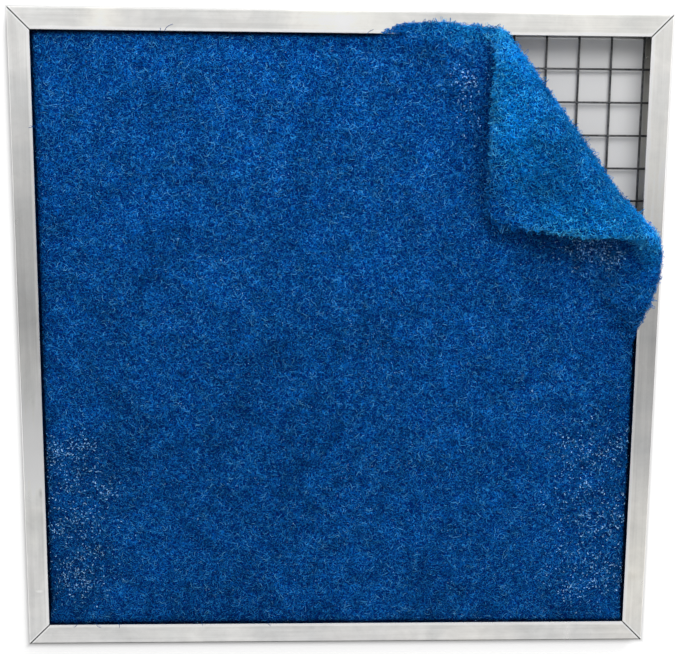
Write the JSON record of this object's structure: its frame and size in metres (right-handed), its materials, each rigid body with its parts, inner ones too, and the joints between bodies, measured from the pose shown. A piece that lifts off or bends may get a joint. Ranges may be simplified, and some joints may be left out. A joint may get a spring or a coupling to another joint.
{
  "type": "furnace air filter",
  "caption": "Square panel air filter: a mitred aluminium channel frame, a welded wire grid and a thick blue fibre pad with one corner folded over.",
  "frame": {"origin": "centre of the back face of the frame, on the surface that the filter lies on", "axes": "+X to the right and +Y up as the filter is seen from its front, +Z out of the back face towards the front"},
  "size_m": [0.5016, 0.5016, 0.058],
  "materials": {
    "frame_aluminium": "satin brushed",
    "key_aluminium": "mill finish",
    "grid_wire": "dull galvanised",
    "pad_fibre": "coarse curled fibre"
  },
  "bodies": {
    "root": {"corner_key_bottom_left": "key_aluminium", "corner_key_bottom_right": "key_aluminium", "corner_key_top_left": "key_aluminium", "corner_key_top_right": "key_aluminium", "media_pad": "pad_fibre", "rail_bottom": "frame_aluminium", "rail_left": "frame_aluminium", "rail_right": "frame_aluminium", "rail_top": "frame_aluminium", "wire_level_01": "grid_wire", "wire_level_02": "grid_wire", "wire_level_03": "grid_wire", "wire_level_04": "grid_wire", "wire_level_05": "grid_wire", "wire_level_06": "grid_wire", "wire_level_07": "grid_wire", "wire_level_08": "grid_wire", "wire_level_09": "grid_wire", "wire_level_10": "grid_wire", "wire_level_11": "grid_wire", "wire_level_12": "grid_wire", "wire_level_13": "grid_wire", "wire_level_14": "grid_wire", "wire_level_15": "grid_wire", "wire_level_16": "grid_wire", "wire_level_17": "grid_wire", "wire_level_18": "grid_wire", "wire_level_19": "grid_wire", "wire_level_20": "grid_wire", "wire_upright_01": "grid_wire", "wire_upright_02": "grid_wire", "wire_upright_03": "grid_wire", "wire_upright_04": "grid_wire", "wire_upright_05": "grid_wire", "wire_upright_06": "grid_wire", "wire_upright_07": "grid_wire", "wire_upright_08": "grid_wire", "wire_upright_09": "grid_wire", "wire_upright_10": "grid_wire", "wire_upright_11": "grid_wire", "wire_upright_12": "grid_wire", "wire_upright_13": "grid_wire", "wire_upright_14": "grid_wire", "wire_upright_15": "grid_wire", "wire_upright_16": "grid_wire", "wire_upright_17": "grid_wire", "wire_upright_18": "grid_wire", "wire_upright_19": "grid_wire"}
  },
  "joints": []
}
